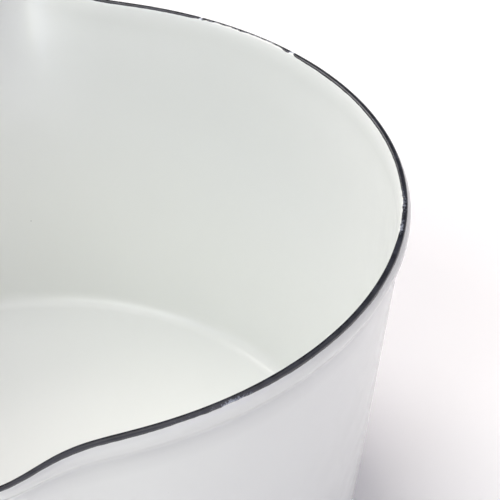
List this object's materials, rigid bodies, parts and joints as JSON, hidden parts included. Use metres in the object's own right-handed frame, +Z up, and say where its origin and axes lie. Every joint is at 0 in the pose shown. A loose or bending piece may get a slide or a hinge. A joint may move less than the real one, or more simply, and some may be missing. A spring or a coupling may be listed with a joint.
{
  "type": "milk pan",
  "caption": "White enamelled steel milk pan with a tapered wall, dark rim, opposed pour lips, a turned wooden side handle and a swinging hanging ring.",
  "frame": {"origin": "centre of the flat underside, which the pan rests on", "axes": "+Z up; the handle points along -X and rises; the pour lips point along -Y and +Y"},
  "size_m": [0.3356, 0.1814, 0.1141],
  "materials": {
    "white_enamel": "glossy vitreous enamel on steel, slightly greenish white",
    "dark_enamel": "glossy blue-black vitreous enamel, thin and uneven",
    "steel": "zinc-plated machined steel",
    "polished_steel": "fine brushed stainless steel",
    "wood": "oiled beech, grain along the handle"
  },
  "bodies": {
    "pan": {"vessel": "white_enamel", "rim_enamel": "dark_enamel", "handle_plate": "white_enamel", "handle_socket": "white_enamel", "rod_anchor": "steel", "tie_rod": "steel", "ferrule": "polished_steel", "grip": "wood", "end_washer": "polished_steel", "eye_nut": "polished_steel"},
    "ring": {"hanging_ring": "polished_steel"}
  },
  "joints": [
    {"name": "ring_swing", "type": "hinge", "parent": "pan", "child": "ring", "pos_m": [-0.24759, 0, 0.10565], "axis": [0, 1, 0], "range_deg": [-40, 230]}
  ]
}
